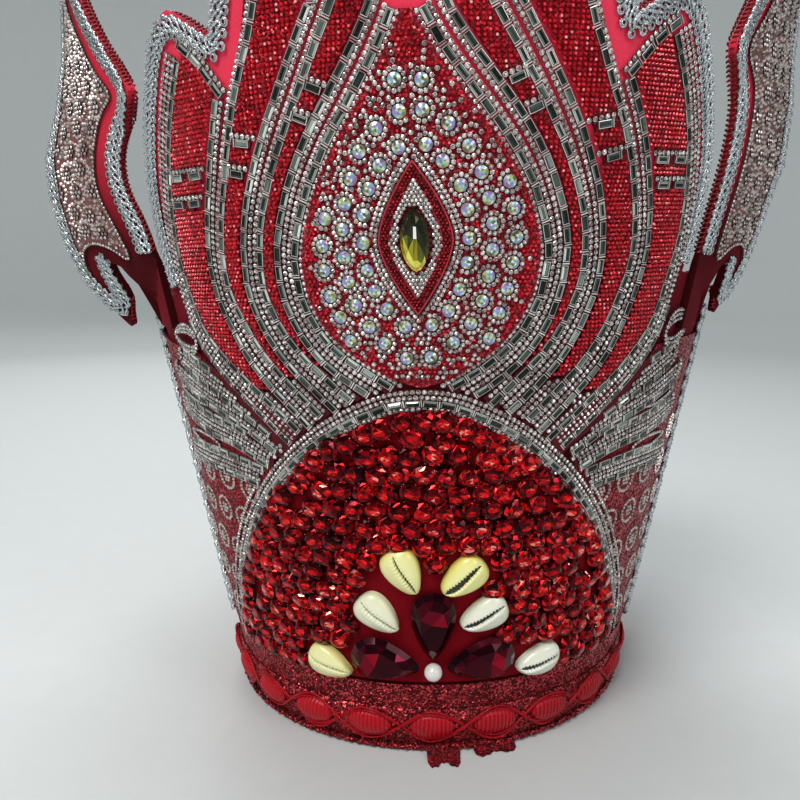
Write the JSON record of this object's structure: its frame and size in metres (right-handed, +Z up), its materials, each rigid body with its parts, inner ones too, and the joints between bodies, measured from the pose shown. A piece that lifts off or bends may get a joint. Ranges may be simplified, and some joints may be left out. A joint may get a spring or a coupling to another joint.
{
  "type": "ceremonial crown",
  "caption": "Red felt crown with a tall flame-edged front, side wings, rhinestone bands, red gems and cowrie shells.",
  "frame": {"origin": "middle of the crown's footprint box, on the floor under its foot", "axes": "+Z up, -Y out of the tall front panel, +X to the wearer's left"},
  "size_m": [0.322, 0.3058, 0.382],
  "materials": {
    "felt": "coral red felt",
    "silver_braid": "twisted silver metallic cords",
    "red_gimp": "dark red looped gimp",
    "foot_gimp": "red braid with padded ribbed ovals",
    "glitter_cloth": "dark red glitter cloth",
    "rhinestone_trim": "clear rhinestones in silver settings",
    "red_mesh": "red bead mesh",
    "red_gem": "faceted foil-backed red",
    "garnet_drop": "faceted dark garnet",
    "eye_stone": "faceted olive yellow",
    "cowrie_shell": "glossy shell",
    "pearl": "pearl lustre"
  },
  "bodies": {
    "root": {"arch_trim": "rhinestone_trim", "back_braid": "silver_braid", "cowrie_1": "cowrie_shell", "cowrie_2": "cowrie_shell", "cowrie_3": "cowrie_shell", "cowrie_4": "cowrie_shell", "cowrie_5": "cowrie_shell", "cowrie_6": "cowrie_shell", "crown_wall": "felt", "drop_left": "garnet_drop", "drop_right": "garnet_drop", "drop_upper": "garnet_drop", "eye_lozenge": "glitter_cloth", "eye_plate": "red_mesh", "eye_stone": "eye_stone", "foot_braid": "foot_gimp", "foot_cloth": "glitter_cloth", "front_braid": "silver_braid", "front_gimp": "red_gimp", "gem_arch": "red_gem", "mesh_inner_left": "red_mesh", "mesh_inner_right": "red_mesh", "mesh_middle_left": "red_mesh", "mesh_middle_right": "red_mesh", "mesh_outer_left": "red_mesh", "mesh_outer_right": "red_mesh", "pearl": "pearl", "side_braid_left": "silver_braid", "side_braid_right": "silver_braid", "side_lace_left": "rhinestone_trim", "side_lace_right": "rhinestone_trim", "trim_a_inner_left": "rhinestone_trim", "trim_a_inner_right": "rhinestone_trim", "trim_a_outer_left": "rhinestone_trim", "trim_a_outer_right": "rhinestone_trim", "trim_b_inner_left": "rhinestone_trim", "trim_b_inner_right": "rhinestone_trim", "trim_b_outer_left": "rhinestone_trim", "trim_b_outer_right": "rhinestone_trim", "trim_c_inner_left": "rhinestone_trim", "trim_c_inner_right": "rhinestone_trim", "trim_c_outer_left": "rhinestone_trim", "trim_c_outer_right": "rhinestone_trim", "trim_d_inner_left": "rhinestone_trim", "trim_d_inner_right": "rhinestone_trim", "trim_d_outer_left": "rhinestone_trim", "trim_d_outer_right": "rhinestone_trim", "trim_slope_left": "rhinestone_trim", "trim_slope_right": "rhinestone_trim", "wing_braid_left": "silver_braid", "wing_braid_right": "silver_braid", "wing_gimp_left": "red_gimp", "wing_gimp_right": "red_gimp", "wing_lace_left": "rhinestone_trim", "wing_lace_right": "rhinestone_trim", "wing_left": "felt", "wing_right": "felt"}
  },
  "joints": []
}
